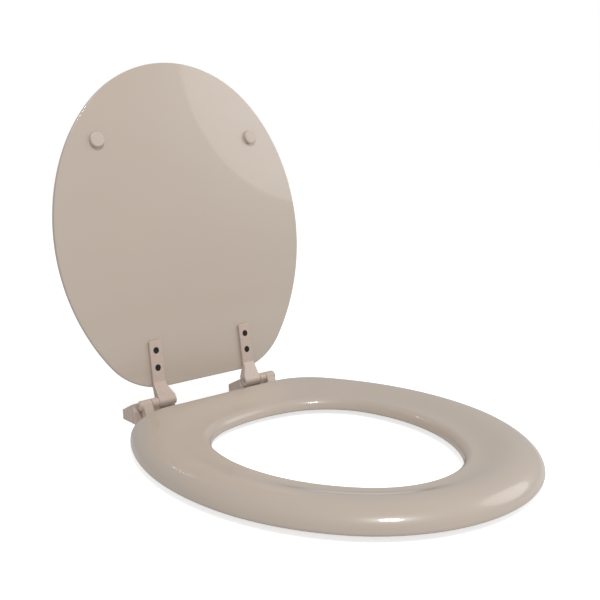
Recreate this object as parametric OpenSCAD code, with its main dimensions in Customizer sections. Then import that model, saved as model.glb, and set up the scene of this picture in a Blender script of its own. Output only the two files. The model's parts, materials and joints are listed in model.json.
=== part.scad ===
// Round-front toilet seat with its two hinges, lid standing open and ring down.
// The origin is midway between the two bolt holes, on the plane of the bowl.
// X runs across the seat, -Y points to the seat's front, and Z points up.

/* [Seat ring] */
// Width of the ring over its sides
ring_w = 367; // [355:1:380]
// Length of the ring from back edge to front edge
ring_l = 409.5; // [400:0.5:420]
// Half length of the straight back edge
ring_back_half = 76; // [70:1:80]
// Radius of the rear corners
ring_corner_r = 79; // [74:1:84]
// Turn of the rear corners in degrees
ring_corner_a = 60.5; // [57:0.5:63]
// Turn of the long side arcs in degrees
ring_side_a = 41.5; // [38:0.5:45]
// Turn of the arcs between the sides and the front
ring_bow_a = 27; // [24:1:30]
// Thickness at the crest
ring_t = 19.4; // [17.5:0.1:22]
// Reach of the outer round-over, from the edge in to the crest
ring_round = 24; // [20:1:28]
// Distance from the pin axis forward to the back edge
ring_gap = 17; // [16:0.5:20]
// Radius of the small lower edges
ring_edge_r = 2.5; // [1.5:0.5:3]

/* [Opening] */
// Width of the opening
hole_w = 223; // [210:1:232]
// Ring width behind the opening
hole_back_land = 80.5; // [74:0.5:88]
// Ring width in front of the opening
hole_front_land = 68; // [62:1:74]
// Radius of the arc at the back of the opening
hole_back_r = 175; // [150:1:200]
// Half turn of that arc in degrees
hole_back_a = 14; // [12:1:16]
// Radius of the rear corners of the opening
hole_corner_r = 87; // [80:1:92]
// Turn of those corners in degrees
hole_corner_a = 61; // [57:1:64]
// Turn of the side arcs in degrees
hole_side_a = 30; // [26:1:34]
// Turn of the arcs between the sides and the front
hole_bow_a = 28.5; // [25:0.5:32]
// Thickness of the ring beside the opening
hole_land_t = 13; // [11:0.5:15]
// Radius of the round-over into the opening
hole_round = 9.5; // [7:0.5:10]

/* [Lid] */
// How far the lid's side lies inside the ring's
lid_side_in = 1.5; // [0:0.5:4]
// How far the lid's front lies behind the ring's
lid_front_in = 3.7; // [1:0.1:6]
// Distance from the pin axis forward to the closed lid's back edge
lid_back_gap = 14.7; // [13:0.1:18]
// Half length of the lid's straight back edge
lid_back_half = 56; // [50:1:62]
// Radius of the lid's rear corners
lid_corner_r = 89.5; // [84:0.5:95]
// Turn of the lid's rear corners in degrees
lid_corner_a = 51; // [48:1:54]
// Turn of the lid's side arcs in degrees
lid_side_a = 62; // [58:1:66]
// Turn of the lid's arcs between the sides and the front
lid_bow_a = 20; // [17:1:23]
// Thickness of the lid
lid_t = 12; // [11:0.5:15]
// Reach of the round-over on the lid's top edge
lid_round = 12; // [8:1:14]
// Height of that round-over
lid_round_h = 8; // [6:0.5:9]
// Angle from closed to the open rest, in degrees
lid_open = 96.7; // [91:0.1:98]

/* [Bumpers] */
// Height of the buffers under the ring
seat_bumper_h = 5.5; // [5:0.5:8]
// Length of the buffers under the ring
seat_bumper_l = 30; // [20:1:36]
// Width of the buffers under the ring
seat_bumper_w = 11; // [8:1:14]
// Height of the lid's buffers
lid_bumper_h = 5; // [5:0.5:7]
// Radius of the lid's buffers
lid_bumper_r = 9.5; // [7:0.5:11]
// Edge radius of the lid's buffers
lid_bumper_edge = 1.8; // [1:0.1:2.5]
// Radius of a buffer's peg
peg_r = 2.5; // [2:0.1:3]
// Length of a buffer's peg
peg_l = 6; // [4:0.5:7]
// Place of the front buffers, as a fraction of the way from back to front
bumper_front_at = 0.72; // [0.68:0.01:0.78]
// Place of the rear buffers under the ring, as the same fraction
bumper_rear_at = 0.3; // [0.27:0.01:0.36]
// Gap between the lid's buffers and the ring's crest
lid_gap = 0.3; // [0.3:0.1:1]

/* [Hinges] */
// Height of the pin axis above the ring's underside
ring_drop = 15.5; // [14:0.5:16]
// Radius of the hinge pins
pin_r = 2.5; // [2:0.1:3]
// Radius of the knuckles
knuckle_r = 6; // [5.5:0.1:6.5]
// Distance from the middle plane to the inner end of each hinge
hinge_in = 52.5; // [50:0.5:56]
// Width of the lid leaf's knuckle
lid_knuckle_w = 23.5; // [21:0.5:26]
// Width of the base's knuckle
base_knuckle_w = 9.5; // [8:0.5:12]
// Width of the seat leaf's knuckle
seat_knuckle_w = 16; // [15:0.5:18]
// Radius of the round on the seat leaf's closed end
seat_dome_r = 3.5; // [2.5:0.5:4]
// Gap between neighbouring knuckles
knuckle_gap = 0.3; // [0.3:0.1:0.5]
// Running clearance round the pins
pin_clear = 0.05; // [0.02:0.01:0.08]
// Width of the lid leaf's strap
lid_strap_w = 17; // [15:0.5:18]
// Thickness of the lid leaf's strap
lid_strap_t = 4; // [3:0.1:4.5]
// Distance from the pin axis to the end of the lid leaf's strap
lid_strap_reach = 72; // [70:1:80]
// Width of the seat leaf's strap
seat_strap_w = 12; // [10:0.5:12]
// Thickness of the seat leaf's strap
seat_strap_t = 3.5; // [3:0.1:4]
// Distance from the pin axis to the end of the seat leaf's strap
seat_strap_reach = 74; // [71:1:80]
// Corner radius at the straps' ends
strap_corner_r = 3; // [2:0.5:5]

/* [Hinge bases] */
// Distance between the two bolt holes
bolt_spacing = 139.7; // [136:0.1:152]
// Distance from the pin axis back to the bolt holes
bolt_back = 18; // [17:0.5:19]
// Radius of the bolt holes
bolt_r = 5; // [4:0.1:5.5]
// Height of the base's floor
floor_t = 3; // [2:0.5:4]
// How far the base reaches past the hinge's inner end
base_in_past = 1.8; // [1:0.1:3]
// How far the base reaches past the hinge's outer end
base_out_past = 4.9; // [3:0.1:7]
// Distance from the pin axis back to the base's front face
base_front = 1.8; // [1.5:0.1:2.5]
// Distance from the pin axis back to the cap's back face
base_back = 39.5; // [38.5:0.5:42]
// Height of the cap's back edge above the bowl
cap_back_h = 8.4; // [7.9:0.1:9]
// Height of the cap's top line above the pin axis, at the stop face
cap_front_h = 2; // [1:0.1:2.5]
// Gap between the knuckles and the base under them
base_gap = 0.6; // [0.4:0.1:0.9]
// Thickness of the base's rim between the knuckles and the cap, at the top
rim_t = 1; // [0.8:0.1:1.6]
// Size of the chamfers at the rear corners
cap_chamfer = 7.6; // [6:0.1:9]
// Wall of the cap
cap_wall = 1.6; // [1.4:0.1:1.8]
// Radius of the cap's rounded heel
heel_r = 7.4; // [7:0.1:7.8]
// Height of the cap's axle above the bowl
axle_h = 5.7; // [5.4:0.1:5.9]
// Gap under the cap's edge
cap_lift = 0.4; // [0.3:0.1:0.6]
// Gap between the cap and the base
cap_gap = 0.4; // [0.3:0.1:0.6]
// Radius of the cap's stub axles
axle_r = 1.2; // [1:0.1:1.4]
// Thickness of the ears
ear_t = 2.5; // [2:0.1:3]
// Distance from the cap's side to the ear
ear_in = 7.3; // [7:0.1:8]

/* [Screws] */
// Distance between the two screws of a leaf
screw_pitch = 20.8; // [18:0.1:23]
// Distance from the pin axis to the nearer screw
screw_first = 39.1; // [37:0.1:43]
// Radius of the screw heads
screw_head_r = 3.9; // [3.4:0.1:4.3]
// Height of the countersunk heads
screw_head_h = 2; // [1.6:0.1:2.4]
// Radius of the screw shanks
screw_r = 1.9; // [1.6:0.1:2.1]
// How far a screw reaches into the wood
screw_bite = 9; // [7:0.5:9.5]
// Clearance round the screws and pegs in their holes
fit_gap = 0.05; // [0.03:0.01:0.1]

/* [Hidden] */
$fn = 64;
bone = [0.73, 0.68, 0.62];
bone_light = [0.76, 0.70, 0.64];
dark_metal = [0.28, 0.27, 0.25];
steel = [0.6, 0.6, 0.6];
over = 1;
stations = 96;

// Heights in the pin's frame, where Y and Z are zero on the pin axis
pin_z = seat_bumper_h + ring_drop;
bowl_z = -pin_z;
crest_z = ring_t - ring_drop;
lid_z = crest_z + lid_bumper_h + lid_gap;

// Places across the hinge
base_knuckle_in = hinge_in + lid_knuckle_w + knuckle_gap;
seat_knuckle_in = base_knuckle_in + base_knuckle_w + knuckle_gap;
hinge_out = seat_knuckle_in + seat_knuckle_w;
strap_in = hinge_in + lid_knuckle_w - lid_strap_w;
lid_strap_x = strap_in + lid_strap_w / 2;
seat_strap_x = seat_knuckle_in + seat_strap_w / 2;
base_in = hinge_in - base_in_past;
base_out = hinge_out + base_out_past;
base_w = base_out - base_in;

// The cap's top line, heel and axle, in the pin's frame. The axle lies where the cap, when
// it opens, clears the bowl by the same gap as when it is shut.
rim_y = knuckle_r + base_gap + rim_t;
cap_back_z = bowl_z + cap_back_h;
cap_slope = (cap_front_h - cap_back_z) / (base_back - rim_y);
heel_y = base_back - heel_r;
heel_z = bowl_z + cap_lift + heel_r;
axle_y = base_back - axle_h + cap_lift;
axle_z = bowl_z + axle_h;
cap_front_r = axle_y - rim_y + rim_t / 2;
floor_back = axle_y - axle_h;

// The ears fill the room between the axle and the inside of the cap, but for a gap
roof_room = (cap_back_z + cap_slope * (base_back - axle_y) - axle_z)
    / sqrt(1 + cap_slope * cap_slope) - cap_wall;
heel_room = heel_r - cap_wall - norm([axle_y - heel_y, axle_z - heel_z]);
ear_r = min(roof_room, heel_room) - cap_gap;

// The end of a run that turns by a degrees at radius r, from point p and heading h
function turn(p, h, r, a) = p + r * [sin(h + a) - sin(h), cos(h + a) - cos(h)];

// Half of a symmetric outline, from the middle of its back to the middle of its front, as
// runs of [start, heading, radius, turn, length]. The side radius comes from the width, the
// bow radius from the length, and the front radius closes the outline on the middle plane.
function outline(w, l, back_y, half, back_r, back_a, corner_r, corner_a, side_a, bow_a) =
    let (
        h2 = back_a + corner_a,
        h3 = h2 + side_a,
        h4 = h3 + bow_a,
        p1 = turn([half, back_y], 0, back_r, back_a),
        p2 = turn(p1, back_a, corner_r, corner_a),
        side_r = (w / 2 - p2[0]) / (1 - sin(h2)),
        p3 = turn(p2, h2, side_r, side_a),
        lean = (1 + cos(h4)) / sin(h4),
        bow_r = (back_y - l - p3[1] + p3[0] * lean)
            / (cos(h4) - cos(h3) - (sin(h4) - sin(h3)) * lean),
        p4 = turn(p3, h3, bow_r, bow_a),
        front_r = p4[0] / sin(h4)
    )
    [
        [[0, back_y], 0, 0, 0, half],
        [[half, back_y], 0, back_r, back_a, arc_length(back_r, back_a)],
        [p1, back_a, corner_r, corner_a, arc_length(corner_r, corner_a)],
        [p2, h2, side_r, side_a, arc_length(side_r, side_a)],
        [p3, h3, bow_r, bow_a, arc_length(bow_r, bow_a)],
        [p4, h4, front_r, 180 - h4, arc_length(front_r, 180 - h4)]
    ];

function arc_length(r, a) = r * a * PI / 180;

function half_length(o, i = 0) = i == len(o) ? 0 : o[i][4] + half_length(o, i + 1);

// Point and heading at distance s along a half outline
function walk(o, s, i = 0) =
    s > o[i][4] && i < len(o) - 1 ? walk(o, s - o[i][4], i + 1)
    : o[i][2] == 0 ? [o[i][0] + [s, 0], o[i][1]]
    : let (a = min(s / arc_length(o[i][2], 1), o[i][3]))
        [turn(o[i][0], o[i][1], o[i][2], a), o[i][1] + a];

// Point at fraction f of the way from back to front, moved outwards by d
function offset_point(o, f, d) =
    let (w = walk(o, f * half_length(o)))
    w[0] + d * [sin(w[1]), cos(w[1])];

// The whole loop at height z: down the right side, then back up the left one
function loop(o, d, z) = [
    for (k = [0 : stations - 1])
        let (
            right = k <= stations / 2,
            f = 2 * (right ? k : stations - k) / stations,
            p = offset_point(o, f, d)
        )
        [right ? p[0] : -p[0], p[1], z]
];

// A loop a share u of the way from loop a to loop b
function between(a, b, u, z) = [
    for (k = [0 : len(a) - 1])
        [a[k][0] + u * (b[k][0] - a[k][0]), a[k][1] + u * (b[k][1] - a[k][1]), z]
];

// A solid between loops, closed on itself or with flat ends
module skin(loops, closed) {
    n = len(loops[0]);
    m = len(loops);
    wall = [
        for (j = [0 : closed ? m - 1 : m - 2], k = [0 : n - 1])
            let (
                a = j * n + k,
                b = j * n + (k + 1) % n,
                c = ((j + 1) % m) * n + (k + 1) % n,
                d = ((j + 1) % m) * n + k
            )
            each [[a, b, c], [a, c, d]]
    ];
    ends = closed ? [] : [
        for (k = [0 : n - 1])
            let (last = (m - 1) * n)
            each [
                [m * n, (k + 1) % n, k],
                [m * n + 1, last + k, last + (k + 1) % n]
            ]
    ];
    middles = closed ? [] : [for (l = [loops[0], loops[m - 1]]) (l[0] + l[n / 2]) / 2];
    polyhedron(
        points = concat([for (l = loops) each l], middles),
        faces = concat(wall, ends),
        convexity = 6
    );
}

ring_outline = outline(ring_w, ring_l, -ring_gap, ring_back_half, 0, 0,
    ring_corner_r, ring_corner_a, ring_side_a, ring_bow_a);
hole_outline = outline(hole_w, ring_l - hole_back_land - hole_front_land,
    -ring_gap - hole_back_land, 0, hole_back_r, hole_back_a,
    hole_corner_r, hole_corner_a, hole_side_a, hole_bow_a);
lid_outline = outline(ring_w - 2 * lid_side_in,
    ring_gap + ring_l - lid_front_in - lid_back_gap, -lid_back_gap, lid_back_half, 0, 0,
    lid_corner_r, lid_corner_a, lid_side_a, lid_bow_a);

// The line along the middle of the ring, where the buffers sit
function mid_point(f) = (offset_point(ring_outline, f, 0) + offset_point(hole_outline, f, 0)) / 2;
function mid_heading(f) =
    let (step = mid_point(f + 0.01) - mid_point(f - 0.01))
    atan2(step[1], step[0]);

// The screws' distances in front of the pin axis
function screw_y(i) = -screw_first - (i - 1) * screw_pitch;

// The lid leaf's arm on the closed lid: where its top and its underside meet the strap
arm_top = [-lid_back_gap - 2, lid_z];
arm_low = [-lid_back_gap - 8, lid_z - lid_strap_t];

// The point where a face from p runs into the knuckle, on the side given by turn_sign. It
// lies a hair inside the knuckle, so that the face crosses its surface at a small angle.
function touch(p, turn_sign) =
    let (
        r = knuckle_r - 0.1,
        a = atan2(p[1], p[0]) + turn_sign * acos(r / norm(p))
    )
    r * [cos(a), sin(a)];

module at_pin() {
    translate([0, -bolt_back, pin_z]) children();
}

// The right hinge is drawn as it is and the left one is its mirror image
module on_side(side) {
    if (side > 0) children();
    else mirror([1, 0, 0]) children();
}

// Turns what is drawn on the closed lid to the open rest
module opened() {
    at_pin() rotate([-lid_open, 0, 0]) children();
}

// A profile in Y and Z, carried across the seat from x0 over width w
module across(x0, w) {
    translate([x0, 0, 0]) rotate([90, 0, 90]) linear_extrude(w) children();
}

// A round bar along X
module bar(x0, x1, r) {
    translate([x0, 0, 0]) rotate([0, 90, 0]) cylinder(h = x1 - x0, r = r);
}

module seat_ring_shape() {
    edge = ring_edge_r;
    rise = ring_t - edge;
    fall = hole_land_t - edge - hole_round;
    crest = loop(ring_outline, -ring_round, 0);
    land = loop(hole_outline, hole_round, 0);
    outer = [
        for (a = [0 : 30 : 60]) loop(ring_outline, -edge * (1 - sin(a)), edge * (1 - cos(a))),
        for (a = [0 : 11.25 : 90])
            loop(ring_outline, -ring_round * (1 - cos(a)), edge + rise * sin(a))
    ];
    middle = [
        for (u = [0.25 : 0.25 : 0.75])
            between(crest, land, u, ring_t + (hole_land_t - ring_t) * (1 - cos(180 * u)) / 2)
    ];
    inner = [
        for (a = [0 : 18 : 90])
            loop(hole_outline, hole_round * (1 - sin(a)), edge + fall + hole_round * cos(a)),
        for (a = [0 : 30 : 90]) loop(hole_outline, edge * (1 - cos(a)), edge * (1 - sin(a)))
    ];
    skin(concat(outer, middle, inner), true);
}

module seat_ring() {
    color(bone) at_pin() difference() {
        translate([0, 0, -ring_drop]) seat_ring_shape();
        for (side = [-1, 1], i = [1, 2])
            translate([side * seat_strap_x, screw_y(i), -ring_drop - over])
                cylinder(h = over + screw_bite + over, r = screw_r + fit_gap);
        for (side = [-1, 1], f = [bumper_rear_at, bumper_front_at])
            translate([side * mid_point(f)[0], mid_point(f)[1], -ring_drop - over])
                cylinder(h = over + peg_l + over / 2, r = peg_r + fit_gap);
    }
}

module lid_shape() {
    edge = ring_edge_r / 2;
    straight = lid_t - lid_round_h;
    lower = [
        for (a = [0 : 45 : 45]) loop(lid_outline, -edge * (1 - sin(a)), edge * (1 - cos(a))),
        loop(lid_outline, 0, edge)
    ];
    upper = [
        for (a = [0 : 15 : 90])
            loop(lid_outline, -lid_round * (1 - cos(a)), straight + lid_round_h * sin(a))
    ];
    skin(concat(lower, upper), false);
}

module lid() {
    color(bone) opened() difference() {
        translate([0, 0, lid_z]) lid_shape();
        for (side = [-1, 1], i = [1, 2])
            translate([side * lid_strap_x, screw_y(i), lid_z - over])
                cylinder(h = over + screw_bite + over, r = screw_r + fit_gap);
        for (side = [-1, 1])
            translate([side * mid_point(bumper_front_at)[0], mid_point(bumper_front_at)[1], lid_z - over])
                cylinder(h = over + peg_l + over / 2, r = peg_r + fit_gap);
    }
}

// The hole for a countersunk screw, opening downwards from height z
module screw_hole(x, y, z, depth) {
    translate([x, y, z - over]) cylinder(h = depth + 2 * over, r = screw_r + 2 * fit_gap);
    translate([x, y, z]) cylinder(h = screw_head_h, r1 = screw_head_r + 2 * fit_gap, r2 = screw_r + 2 * fit_gap);
    translate([x, y, z - over]) cylinder(h = over, r = screw_head_r + 2 * fit_gap);
}

// A strap's outline from above, with rounded corners at its far end
module strap_outline(x0, w, reach, to_y) {
    translate([x0, -reach + strap_corner_r]) square([w, reach - strap_corner_r + to_y]);
    translate([x0 + strap_corner_r, -reach]) square([w - 2 * strap_corner_r, 2 * strap_corner_r]);
    for (x = [x0 + strap_corner_r, x0 + w - strap_corner_r])
        translate([x, -reach + strap_corner_r]) circle(r = strap_corner_r);
}

module lid_leaf(side) {
    color(bone_light) opened() on_side(side) difference() {
        intersection() {
            union() {
                bar(hinge_in, hinge_in + lid_knuckle_w, knuckle_r);
                across(hinge_in, lid_knuckle_w)
                    polygon([
                        [-lid_strap_reach, lid_z], arm_top, touch(arm_top, -1), [0, 0],
                        touch(arm_low, 1), arm_low, [-lid_strap_reach, arm_low[1]]
                    ]);
            }
            translate([0, 0, -knuckle_r - over])
                linear_extrude(lid_z + knuckle_r + 2 * over) {
                    strap_outline(strap_in, lid_strap_w, lid_strap_reach, knuckle_r + over);
                    polygon([
                        [hinge_in, knuckle_r + over], [hinge_in, -knuckle_r],
                        [strap_in, -3 * knuckle_r], [strap_in + lid_strap_w, -3 * knuckle_r],
                        [strap_in + lid_strap_w, knuckle_r + over]
                    ]);
                }
        }
        bar(hinge_in - over, hinge_in + lid_knuckle_w + over, pin_r + pin_clear);
        for (i = [1, 2]) screw_hole(lid_strap_x, screw_y(i), lid_z - lid_strap_t, lid_strap_t);
    }
}

// The seat leaf's knuckle is closed and rounded at its outer end
module seat_knuckle() {
    core_r = knuckle_r - seat_dome_r;
    straight = seat_knuckle_w - seat_dome_r;
    translate([seat_knuckle_in, 0, 0]) rotate([0, 90, 0]) rotate_extrude() {
        square([core_r, seat_knuckle_w]);
        square([knuckle_r, straight]);
        translate([core_r, straight]) intersection() {
            circle(r = seat_dome_r);
            square(seat_dome_r);
        }
    }
}

module seat_leaf(side) {
    strap_z = -ring_drop - seat_strap_t;
    arm_y = base_front - base_gap;
    heel = [-knuckle_r / 2, strap_z];
    toe = [-ring_gap + 4, strap_z + seat_strap_t];
    color(bone_light) at_pin() on_side(side) difference() {
        union() {
            seat_knuckle();
            across(seat_knuckle_in, seat_strap_w)
                polygon([
                    heel, [arm_y, -1.5 * knuckle_r], [arm_y, 0], touch(toe, -1), toe,
                    [toe[0], strap_z]
                ]);
            translate([0, 0, strap_z]) linear_extrude(seat_strap_t)
                strap_outline(seat_knuckle_in, seat_strap_w, seat_strap_reach, heel[0]);
        }
        bar(seat_knuckle_in - over, hinge_out - knuckle_r / 3, pin_r + pin_clear);
        for (i = [1, 2]) screw_hole(seat_strap_x, screw_y(i), strap_z, seat_strap_t);
    }
}

// The closed wedge that the base's front and the cap are both cut from, with its chamfered
// rear corners and rounded heel. It is drawn smaller all round by inset, for a hollow.
module wedge(inset) {
    drop = inset * sqrt(1 + cap_slope * cap_slope);
    intersection() {
        across(base_in + inset, base_w - 2 * inset)
            polygon([
                [base_front, bowl_z], [base_back, bowl_z], [base_back, cap_back_z - drop],
                [base_front, cap_back_z - drop + cap_slope * (base_back - base_front)]
            ]);
        translate([0, 0, bowl_z - over]) linear_extrude(pin_z + knuckle_r + 2 * over)
            wedge_plan(inset);
        union() {
            translate([0, 0, heel_z]) cube([base_out + over, base_back + over, pin_z]);
            translate([0, 0, bowl_z]) cube([base_out + over, heel_y, pin_z]);
            translate([0, heel_y, heel_z]) bar(0, base_out + over, heel_r - inset);
        }
    }
}

module wedge_plan(inset) {
    cut = cap_chamfer - inset * (2 - sqrt(2));
    polygon([
        [base_in + inset, 0], [base_out - inset, 0],
        [base_out - inset, base_back - inset - cut],
        [base_out - inset - cut, base_back - inset],
        [base_in + inset + cut, base_back - inset],
        [base_in + inset, base_back - inset - cut]
    ]);
}

// What lies within radius r of the cap's axle
module about_axle(x0, x1, r) {
    translate([0, axle_y, axle_z]) bar(x0, x1, r);
}

module hinge_base(side) {
    boss_h = floor_t + 2;
    floor_in = base_in + cap_wall + cap_gap;
    floor_out = base_out - cap_wall - cap_gap;
    color(bone_light) at_pin() on_side(side) difference() {
        union() {
            base_front_block();
            bar(base_knuckle_in, base_knuckle_in + base_knuckle_w, knuckle_r);
            translate([floor_in, base_front, bowl_z])
                cube([floor_out - floor_in, floor_back - base_front, floor_t]);
            translate([bolt_spacing / 2, bolt_back, bowl_z])
                cylinder(h = boss_h, r = bolt_r + 4);
            for (x = [base_in + ear_in, base_out - ear_in - ear_t]) ear(x);
        }
        bar(base_knuckle_in - over, base_knuckle_in + base_knuckle_w + over, pin_r);
        translate([bolt_spacing / 2, bolt_back, bowl_z - over])
            cylinder(h = boss_h + 2 * over, r = bolt_r);
    }
}

// The block in front of the cap, scooped out under the two leaves' knuckles, with the web
// that carries the base's own knuckle
module base_front_block() {
    foot = [base_front, bowl_z];
    difference() {
        union() {
            difference() {
                wedge(0);
                for (x = [[0, base_knuckle_in], [seat_knuckle_in - knuckle_gap, base_out + over]]) {
                    bar(x[0], x[1], knuckle_r + base_gap);
                    translate([x[0], 0, 0]) cube([x[1] - x[0], knuckle_r + base_gap, pin_z]);
                }
                open_arm_notch();
            }
            across(base_knuckle_in, base_knuckle_w)
                polygon([
                    foot, touch(foot, -1), [0, 0], [rim_y, cap_front_h], [rim_y, bowl_z]
                ]);
        }
        about_axle(0, base_out + over, cap_front_r + cap_gap);
    }
}

// The room that the lid leaf's arm takes behind its knuckle when the lid is open
module open_arm_notch() {
    near = touch(arm_top, -1);
    out = near / knuckle_r * base_gap;
    rotate([-lid_open, 0, 0]) across(0, base_knuckle_in)
        polygon([[0, 0], near + out, arm_top + out, [arm_top[0], 0]]);
}

// An ear reaches back from the floor, over the path of the cap's heel, to the axle
module ear(x) {
    neck_z = axle_z + ear_r / 3;
    difference() {
        across(x, ear_t) {
            translate([axle_y, axle_z]) circle(r = ear_r);
            polygon([
                [floor_back - 2 * ear_r, bowl_z], [floor_back, bowl_z], [floor_back, neck_z],
                [axle_y, neck_z], [axle_y, axle_z + ear_r], [floor_back - ear_r, axle_z + ear_r]
            ]);
        }
        about_axle(x - over, x + ear_t + over, axle_r + pin_clear);
    }
}

module bolt_cap(side) {
    stub_l = ear_in + ear_t + cap_gap;
    color(bone_light) at_pin() on_side(side) {
        difference() {
            intersection() {
                wedge(0);
                about_axle(0, base_out + over, cap_front_r);
                translate([0, 0, bowl_z + cap_lift])
                    cube([base_out + over, base_back + over, 2 * pin_z]);
            }
            wedge(cap_wall);
            translate([0, 0, bowl_z - over]) linear_extrude(axle_h) intersection() {
                wedge_plan(cap_wall);
                square([base_out, axle_y]);
            }
        }
        intersection() {
            wedge(cap_wall / 2);
            for (x = [base_in, base_out - stub_l]) about_axle(x, x + stub_l, axle_r);
        }
    }
}

module hinge_pin(side) {
    color(steel) at_pin() on_side(side)
        bar(hinge_in + 1, hinge_out - knuckle_r / 3 - 0.5, pin_r);
}

// A countersunk wood screw, drawn with its head down at z = 0
module screw(through) {
    slot = screw_head_r / 5;
    difference() {
        union() {
            cylinder(h = screw_head_h, r1 = screw_head_r, r2 = screw_r);
            cylinder(h = through + screw_bite - 2, r = screw_r);
            translate([0, 0, through + screw_bite - 2]) cylinder(h = 2, r1 = screw_r, r2 = 0.4);
        }
        for (a = [0, 90])
            rotate([0, 0, a]) translate([-screw_head_r * 0.6, -slot / 2, -over])
                cube([screw_head_r * 1.2, slot, over + screw_head_h * 0.6]);
    }
}

module lid_screw(side, i) {
    color(dark_metal) opened() on_side(side)
        translate([lid_strap_x, screw_y(i), lid_z - lid_strap_t]) screw(lid_strap_t);
}

module seat_screw(side, i) {
    color(dark_metal) at_pin() on_side(side)
        translate([seat_strap_x, screw_y(i), -ring_drop - seat_strap_t]) screw(seat_strap_t);
}

module lid_bumper(side) {
    p = mid_point(bumper_front_at);
    flat = lid_bumper_r - lid_bumper_edge;
    color(bone_light) opened() on_side(side) translate([p[0], p[1], lid_z]) {
        mirror([0, 0, 1]) rotate_extrude() {
            square([flat, lid_bumper_h]);
            square([lid_bumper_r, lid_bumper_h - lid_bumper_edge]);
            translate([flat, lid_bumper_h - lid_bumper_edge]) intersection() {
                circle(r = lid_bumper_edge);
                square(lid_bumper_edge);
            }
        }
        cylinder(h = peg_l, r = peg_r);
    }
}

module seat_bumper(side, f) {
    p = mid_point(f);
    run = seat_bumper_l - seat_bumper_w;
    color(bone_light) at_pin() on_side(side) translate([p[0], p[1], -ring_drop]) {
        rotate([0, 0, mid_heading(f)]) mirror([0, 0, 1]) linear_extrude(seat_bumper_h) {
            square([run, seat_bumper_w], center = true);
            for (s = [-1, 1]) translate([s * run / 2, 0]) circle(d = seat_bumper_w);
        }
        cylinder(h = peg_l, r = peg_r);
    }
}

seat_ring();
lid();
lid_leaf(-1);  // lid_leaf_left
lid_leaf(1);  // lid_leaf_right
seat_leaf(-1);  // seat_leaf_left
seat_leaf(1);  // seat_leaf_right
hinge_base(-1);  // hinge_base_left
hinge_base(1);  // hinge_base_right
bolt_cap(-1);  // bolt_cap_left
bolt_cap(1);  // bolt_cap_right
hinge_pin(-1);  // hinge_pin_left
hinge_pin(1);  // hinge_pin_right
lid_screw(-1, 1);  // lid_screw_left_1
lid_screw(-1, 2);  // lid_screw_left_2
lid_screw(1, 1);  // lid_screw_right_1
lid_screw(1, 2);  // lid_screw_right_2
seat_screw(-1, 1);  // seat_screw_left_1
seat_screw(-1, 2);  // seat_screw_left_2
seat_screw(1, 1);  // seat_screw_right_1
seat_screw(1, 2);  // seat_screw_right_2
lid_bumper(-1);  // lid_bumper_left
lid_bumper(1);  // lid_bumper_right
seat_bumper(-1, bumper_rear_at);  // seat_bumper_rear_left
seat_bumper(1, bumper_rear_at);  // seat_bumper_rear_right
seat_bumper(-1, bumper_front_at);  // seat_bumper_front_left
seat_bumper(1, bumper_front_at);  // seat_bumper_front_right
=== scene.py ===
import json
import math

import bmesh
import bpy
import numpy as np
from mathutils import Matrix, Vector


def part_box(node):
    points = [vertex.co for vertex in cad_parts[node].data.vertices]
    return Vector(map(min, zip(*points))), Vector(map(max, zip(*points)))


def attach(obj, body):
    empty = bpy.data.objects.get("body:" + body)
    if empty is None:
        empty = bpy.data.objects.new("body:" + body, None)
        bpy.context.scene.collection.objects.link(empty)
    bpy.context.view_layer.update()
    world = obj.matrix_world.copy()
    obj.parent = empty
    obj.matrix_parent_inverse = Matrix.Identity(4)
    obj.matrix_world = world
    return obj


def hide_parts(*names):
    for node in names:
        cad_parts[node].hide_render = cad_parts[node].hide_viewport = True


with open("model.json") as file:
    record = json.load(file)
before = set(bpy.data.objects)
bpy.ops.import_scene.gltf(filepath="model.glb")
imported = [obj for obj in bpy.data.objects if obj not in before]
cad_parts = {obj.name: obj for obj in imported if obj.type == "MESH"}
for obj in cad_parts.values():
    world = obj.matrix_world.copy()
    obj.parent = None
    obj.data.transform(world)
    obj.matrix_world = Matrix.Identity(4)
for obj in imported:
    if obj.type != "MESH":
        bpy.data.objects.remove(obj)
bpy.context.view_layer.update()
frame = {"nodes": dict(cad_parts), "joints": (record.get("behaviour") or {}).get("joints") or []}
nodes = frame["nodes"]
joints = {joint["name"]: joint for joint in frame["joints"]}
pin = Vector(joints["lid_hinge"]["pos_m"])
SIDES = ("left", "right")
MM = 0.001

# The view of the photograph. The camera looks along +Y and to the right from well above the
# ring, and the picture is the lower right part of a wider frame, hence the shift.
PICTURE = 600
FOCAL_PX = 778.3
CENTRE_PX = (211.7, 180.6)
EYE = Vector((-0.5374, -0.8305, 0.2884))
LOOK = Vector((0.5647, 0.8253, -0.0059))
DOWN = Vector((-0.0452, 0.0237, -0.9987))
camera_data = bpy.data.cameras.new("camera")
camera_data.sensor_width = 36
camera_data.lens = FOCAL_PX / PICTURE * camera_data.sensor_width
camera_data.shift_x = (PICTURE / 2 - CENTRE_PX[0]) / PICTURE
camera_data.shift_y = (CENTRE_PX[1] - PICTURE / 2) / PICTURE
camera = bpy.data.objects.new("camera", camera_data)
right = DOWN.cross(LOOK).normalized()
down = LOOK.cross(right).normalized()
camera.matrix_world = Matrix.Translation(EYE) @ Matrix(
    (
        (right.x, -down.x, -LOOK.x),
        (right.y, -down.y, -LOOK.y),
        (right.z, -down.z, -LOOK.z),
    )
).to_4x4()
bpy.context.scene.collection.objects.link(camera)
bpy.context.scene.camera = camera


# The enamel that the ring and the lid are sprayed with: one bone colour, a hard gloss, and
# the faint waviness that a sprayed coat keeps over sanded wood.
def new_material(name):
    material = bpy.data.materials.new(name)
    material.use_nodes = True
    return material, material.node_tree, material.node_tree.nodes["Principled BSDF"]


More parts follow.
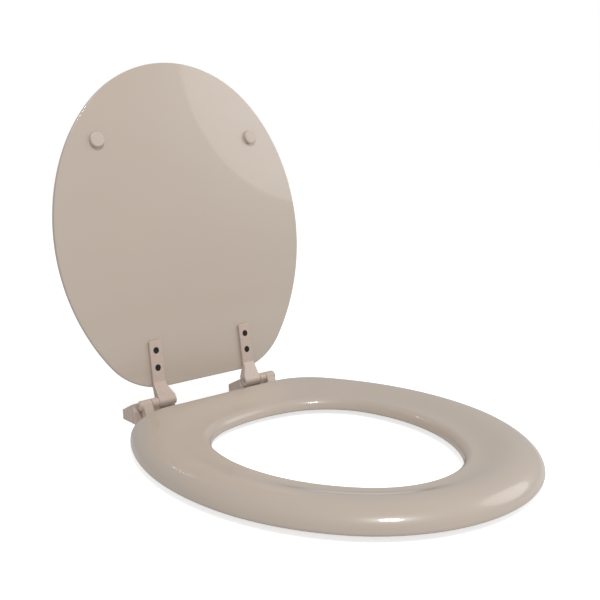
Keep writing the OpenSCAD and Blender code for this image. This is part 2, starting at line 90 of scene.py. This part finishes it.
def add(tree, kind, settings=None, **inputs):
    node = tree.nodes.new(kind)
    for key, value in (settings or {}).items():
        setattr(node, key, value)
    for key, value in inputs.items():
        socket = node.inputs[key.replace("_", " ")]
        if isinstance(value, bpy.types.NodeSocket):
            tree.links.new(value, socket)
        else:
            socket.default_value = value
    return node


def moulded(name, colour, vary, roughness, wave_mm, wave_scale, gloss):
    """A painted or moulded surface: colour, its slow variation, and its waviness."""
    material, tree, shader = new_material(name)
    place = add(tree, "ShaderNodeTexCoord").outputs["Object"]
    slow = add(tree, "ShaderNodeTexNoise", Vector=place, Scale=9.0, Detail=3.0)
    tint = add(tree, "ShaderNodeMix", {"data_type": "RGBA"})
    tree.links.new(slow.outputs["Fac"], tint.inputs["Factor"])
    tint.inputs[6].default_value = (*[c * (1 - vary) for c in colour], 1)
    tint.inputs[7].default_value = (*[c * (1 + vary) for c in colour], 1)
    tree.links.new(tint.outputs[2], shader.inputs["Base Color"])
    fine = add(tree, "ShaderNodeTexNoise", Vector=place, Scale=wave_scale, Detail=2.0)
    rough = add(tree, "ShaderNodeMapRange", Value=fine.outputs["Fac"])
    rough.inputs["To Min"].default_value = roughness * 0.85
    rough.inputs["To Max"].default_value = roughness * 1.15
    tree.links.new(rough.outputs["Result"], shader.inputs["Roughness"])
    bump = add(tree, "ShaderNodeBump", Height=fine.outputs["Fac"], Distance=wave_mm * MM)
    bump.inputs["Strength"].default_value = 0.5
    tree.links.new(bump.outputs["Normal"], shader.inputs["Normal"])
    shader.inputs["Coat Weight"].default_value = gloss
    shader.inputs["Coat Roughness"].default_value = 0.04
    return material


ENAMEL = moulded("bone_enamel", (0.56, 0.475, 0.40), 0.02, 0.30, 0.03, 60.0, 0.6)


# The ring and the lid are sawn and moulded to outlines of arcs that run into each other. An
# outline is half a loop, from the middle of its back to the middle of its front.
def turn(point, heading, radius, angle):
    a, b = math.radians(heading), math.radians(heading + angle)
    return (
        point[0] + radius * (math.sin(b) - math.sin(a)),
        point[1] + radius * (math.cos(b) - math.cos(a)),
    )


def outline(width, length, back_y, half, back, corner, side_a, bow_a):
    """Runs of (start, heading, radius, turn). back and corner are (radius, turn)."""
    h2 = back[1] + corner[1]
    h3 = h2 + side_a
    h4 = h3 + bow_a
    s2, s3, s4 = (math.sin(math.radians(h)) for h in (h2, h3, h4))
    c3, c4 = (math.cos(math.radians(h)) for h in (h3, h4))
    p1 = turn((half, back_y), 0, *back)
    p2 = turn(p1, back[1], *corner)
    side_r = (width / 2 - p2[0]) / (1 - s2)
    p3 = turn(p2, h2, side_r, side_a)
    lean = (1 + c4) / s4
    bow_r = (back_y - length - p3[1] + p3[0] * lean) / (c4 - c3 - (s4 - s3) * lean)
    p4 = turn(p3, h3, bow_r, bow_a)
    return (
        ((0, back_y), 0, 0, half),
        ((half, back_y), 0, *back),
        (p1, back[1], *corner),
        (p2, h2, side_r, side_a),
        (p3, h3, bow_r, bow_a),
        (p4, h4, p4[0] / s4, 180 - h4),
    )


def run_length(run):
    return run[3] if run[2] == 0 else math.radians(run[3]) * run[2]


def walk(half_outline, fraction):
    """The point and heading at a fraction of the way from back to front."""
    left = fraction * sum(run_length(run) for run in half_outline)
    for run in half_outline[:-1]:
        if left <= run_length(run):
            break
        left -= run_length(run)
    else:
        run = half_outline[-1]
    start, heading, radius, angle = run
    if radius == 0:
        return (start[0] + left, start[1]), heading
    part = min(math.degrees(left / radius), angle)
    return turn(start, heading, radius, part), heading + part


def loop(half_outline, stations, shift, height):
    """A closed loop of points, shifted outwards, at one height above the outline's plane."""
    right_side = []
    for k in range(stations // 2 + 1):
        (x, y), heading = walk(half_outline, 2 * k / stations)
        a = math.radians(heading)
        right_side.append((x + shift * math.sin(a), y + shift * math.cos(a), height))
    left_side = [(-x, y, z) for x, y, z in right_side[-2:0:-1]]
    return np.array(right_side + left_side)


def smooth_piece(name, verts, faces, material, angle=40):
    """A finished mesh with one material, smooth except over edges sharper than the angle."""
    mesh = bpy.data.meshes.new(name)
    mesh.from_pydata(verts, [], faces)
    mesh.materials.append(material)
    finished(mesh, angle)
    piece = bpy.data.objects.new(name, mesh)
    bpy.context.scene.collection.objects.link(piece)
    return piece


def finished(mesh, angle):
    shape = bmesh.new()
    shape.from_mesh(mesh)
    bmesh.ops.recalc_face_normals(shape, faces=shape.faces)
    for face in shape.faces:
        face.smooth = True
    for edge in shape.edges:
        edge.smooth = len(edge.link_faces) == 2 and edge.calc_face_angle() < math.radians(angle)
    shape.to_mesh(mesh)
    shape.free()


def skin(name, loops, closed, material):
    """A solid between loops of as many points, closed on itself or with flat ends."""
    n, m = len(loops[0]), len(loops)
    faces = []
    for j in range(m if closed else m - 1):
        a, b = j * n, (j + 1) % m * n
        faces += [(a + k, a + (k + 1) % n, b + (k + 1) % n, b + k) for k in range(n)]
    if not closed:
        faces += [tuple(range(n))[::-1], tuple(range((m - 1) * n, m * n))]
    return smooth_piece(name, np.vstack(loops) * MM, faces, material)


# The seat ring: moulded wood, crowned towards its outer edge and lower at the opening, with
# its whole surface enamelled. It lies on four buffers, and its leaves are screwed under it.
RING_W, RING_L, RING_GAP = 367, 409.5, 17
RING_T, RING_ROUND, LAND_T, HOLE_ROUND, EDGE_R = 19.4, 24, 13, 9.5, 2.5
STATIONS = 288
ring_outline = outline(RING_W, RING_L, -RING_GAP, 76, (0, 0), (79, 60.5), 41.5, 27)
hole_outline = outline(223, 261, -97.5, 0, (175, 14), (87, 61), 30, 28.5)


def ring_loops():
    rise, fall = RING_T - EDGE_R, LAND_T - EDGE_R - HOLE_ROUND
    crest = loop(ring_outline, STATIONS, -RING_ROUND, 0)
    land = loop(hole_outline, STATIONS, HOLE_ROUND, 0)
    loops = []
    for a in np.radians(np.arange(0, 90, 15)):
        loops.append((ring_outline, -EDGE_R * (1 - math.sin(a)), EDGE_R * (1 - math.cos(a))))
    for a in np.radians(np.arange(0, 91, 5)):
        loops.append(
            (ring_outline, -RING_ROUND * (1 - math.cos(a)), EDGE_R + rise * math.sin(a))
        )
    made = [loop(half, STATIONS, shift, height) for half, shift, height in loops]
    for u in np.arange(1, 10) / 10:
        middle = crest + u * (land - crest)
        middle[:, 2] = RING_T + (LAND_T - RING_T) * (1 - math.cos(math.pi * u)) / 2
        made.append(middle)
    for a in np.radians(np.arange(0, 91, 7.5)):
        height = EDGE_R + fall + HOLE_ROUND * math.cos(a)
        made.append(loop(hole_outline, STATIONS, HOLE_ROUND * (1 - math.sin(a)), height))
    for a in np.radians(np.arange(0, 91, 15)):
        height = EDGE_R * (1 - math.sin(a))
        made.append(loop(hole_outline, STATIONS, EDGE_R * (1 - math.cos(a)), height))
    return made


ring = skin("seat_ring_shell", ring_loops(), True, ENAMEL)
ring.data.transform(Matrix.Translation((0, pin.y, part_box("seat_ring")[0].z)))
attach(ring, "seat")
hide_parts("seat_ring")


# The lid: one moulded board with a flat underside, a small edge below and a long round-over
# on top. It stands open, turned back past upright.
LID_T, LID_ROUND, LID_ROUND_H, LID_EDGE = 12, 12, 8, 1.25
LID_OPEN = math.radians(joints["lid_hinge"]["range_deg"][1])
LID_Z = 9.2
opened = (
    Matrix.Translation(pin)
    @ Matrix.Rotation(-LID_OPEN, 4, "X")
    @ Matrix.Translation((0, 0, LID_Z * MM))
)
lid_outline = outline(364, 408.1, -14.7, 56, (0, 0), (89.5, 51), 62, 20)
lid_loops = []
for a in np.radians(np.arange(0, 91, 15)):
    shift, height = -LID_EDGE * (1 - math.sin(a)), LID_EDGE * (1 - math.cos(a))
    lid_loops.append(loop(lid_outline, STATIONS, shift, height))
for a in np.radians(np.arange(0, 91, 7.5)):
    height = LID_T - LID_ROUND_H + LID_ROUND_H * math.sin(a)
    lid_loops.append(loop(lid_outline, STATIONS, -LID_ROUND * (1 - math.cos(a)), height))
lid = skin("lid_shell", lid_loops, False, ENAMEL)
lid.data.transform(opened)
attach(lid, "lid")
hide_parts("lid")

# The hinge mouldings: leaves, bases and bolt caps, all of one bone-coloured plastic, a little
# pinker than the enamel. Their edges and corners are softly rounded, as the mould leaves them.
PLASTIC = moulded("hinge_plastic", (0.60, 0.48, 0.41), 0.02, 0.28, 0.02, 140.0, 0.3)
VOXEL = 0.45 * MM
SOFTEN = 6
KEEP = 0.35


def softened(name):
    """A copy of a CAD node with rounded edges: remeshed, smoothed and thinned."""
    piece = bpy.data.objects.new(name + "_moulding", nodes[name].data.copy())
    bpy.context.scene.collection.objects.link(piece)
    piece.data.materials.clear()
    piece.data.materials.append(PLASTIC)
    shape = bmesh.new()
    shape.from_mesh(piece.data)
    bmesh.ops.remove_doubles(shape, verts=shape.verts, dist=1e-6)
    shape.to_mesh(piece.data)
    shape.free()
    remesh = piece.modifiers.new("remesh", "REMESH")
    remesh.mode = "VOXEL"
    remesh.voxel_size = VOXEL
    remesh.adaptivity = 0
    smooth = piece.modifiers.new("smooth", "SMOOTH")
    smooth.iterations = SOFTEN
    thin = piece.modifiers.new("thin", "DECIMATE")
    thin.ratio = KEEP
    baked(piece)
    finished(piece.data, 60)
    return piece


def baked(piece):
    """Turns a piece's modifiers into its mesh."""
    result = bpy.data.meshes.new_from_object(
        piece.evaluated_get(bpy.context.evaluated_depsgraph_get())
    )
    piece.modifiers.clear()
    piece.data = result


for side in SIDES:
    for kind, body in (
        ("lid_leaf_", "lid"),
        ("seat_leaf_", "seat"),
        ("hinge_base_", "bases"),
        ("bolt_cap_", "cap_" + side),
    ):
        moulding = softened(kind + side)
        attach(moulding, body)
        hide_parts(kind + side)

# The hinge pins: plain steel rods that hold each hinge's three knuckles in line.
STEEL = moulded("pin_steel", (0.55, 0.54, 0.53), 0.03, 0.3, 0.005, 400.0, 0.0)
STEEL.node_tree.nodes["Principled BSDF"].inputs["Metallic"].default_value = 1
for side in SIDES:
    nodes["hinge_pin_" + side].data.materials.clear()
    nodes["hinge_pin_" + side].data.materials.append(STEEL)

# The wood screws that hold the leaves: dark plated steel, countersunk, with a cross recess.
DARK_STEEL = moulded("screw_steel", (0.06, 0.055, 0.05), 0.1, 0.35, 0.005, 500.0, 0.0)
DARK_STEEL.node_tree.nodes["Principled BSDF"].inputs["Metallic"].default_value = 1
for name, node in nodes.items():
    if "_screw_" in name:
        node.data.materials.clear()
        node.data.materials.append(DARK_STEEL)

# The buffers: soft plastic of the same bone colour, pressed into holes in the wood by a peg.
SOFT_PLASTIC = moulded("bumper_plastic", (0.60, 0.51, 0.44), 0.02, 0.4, 0.02, 200.0, 0.1)
for name, node in nodes.items():
    if "bumper" in name:
        node.data.materials.clear()
        node.data.materials.append(SOFT_PLASTIC)

# A plain white floor and backdrop under soft studio light, brightest from the upper front.
floor_material, tree, shader = new_material("floor")
shader.inputs["Base Color"].default_value = (0.8, 0.8, 0.8, 1)
shader.inputs["Roughness"].default_value = 0.9
is_camera = add(tree, "ShaderNodeLightPath").outputs["Is Camera Ray"]
tree.links.new(is_camera, shader.inputs["Emission Strength"])
shader.inputs["Emission Color"].default_value = (0.7, 0.7, 0.7, 1)
FLOOR_REACH = 12
floor_mesh = bpy.data.meshes.new("floor")
floor_mesh.from_pydata(
    [(x * FLOOR_REACH, y * FLOOR_REACH, -0.0002) for x, y in ((-1, -1), (1, -1), (1, 1), (-1, 1))],
    [],
    [(0, 1, 2, 3)],
)
floor_mesh.materials.append(floor_material)
floor = bpy.data.objects.new("floor", floor_mesh)
bpy.context.scene.collection.objects.link(floor)

world = bpy.data.worlds.new("world")
world.use_nodes = True
bpy.context.scene.world = world
sky = world.node_tree
fill = sky.nodes["Background"]
fill.inputs["Color"].default_value = (1, 1, 1, 1)
fill.inputs["Strength"].default_value = 0.45
white = add(sky, "ShaderNodeBackground", Color=(1, 1, 1, 1), Strength=1.0)
pick = add(sky, "ShaderNodeMixShader", Fac=add(sky, "ShaderNodeLightPath").outputs["Is Camera Ray"])
sky.links.new(fill.outputs[0], pick.inputs[1])
sky.links.new(white.outputs[0], pick.inputs[2])
sky.links.new(pick.outputs[0], sky.nodes["World Output"].inputs["Surface"])


def lamp(name, place, target, size, power):
    data = bpy.data.lights.new(name, "AREA")
    data.shape = "DISK"
    data.size = size
    data.energy = power
    light = bpy.data.objects.new(name, data)
    light.location = place
    light.rotation_euler = (Vector(target) - Vector(place)).to_track_quat("-Z", "Y").to_euler()
    bpy.context.scene.collection.objects.link(light)


lamp("key", (-0.5, -1.6, 2.2), (0, -0.2, 0), 0.5, 28)
lamp("fill", (1.8, -1.2, 1.2), (0, -0.2, 0.1), 1.5, 10)

bpy.context.scene.view_settings.view_transform = "Standard"
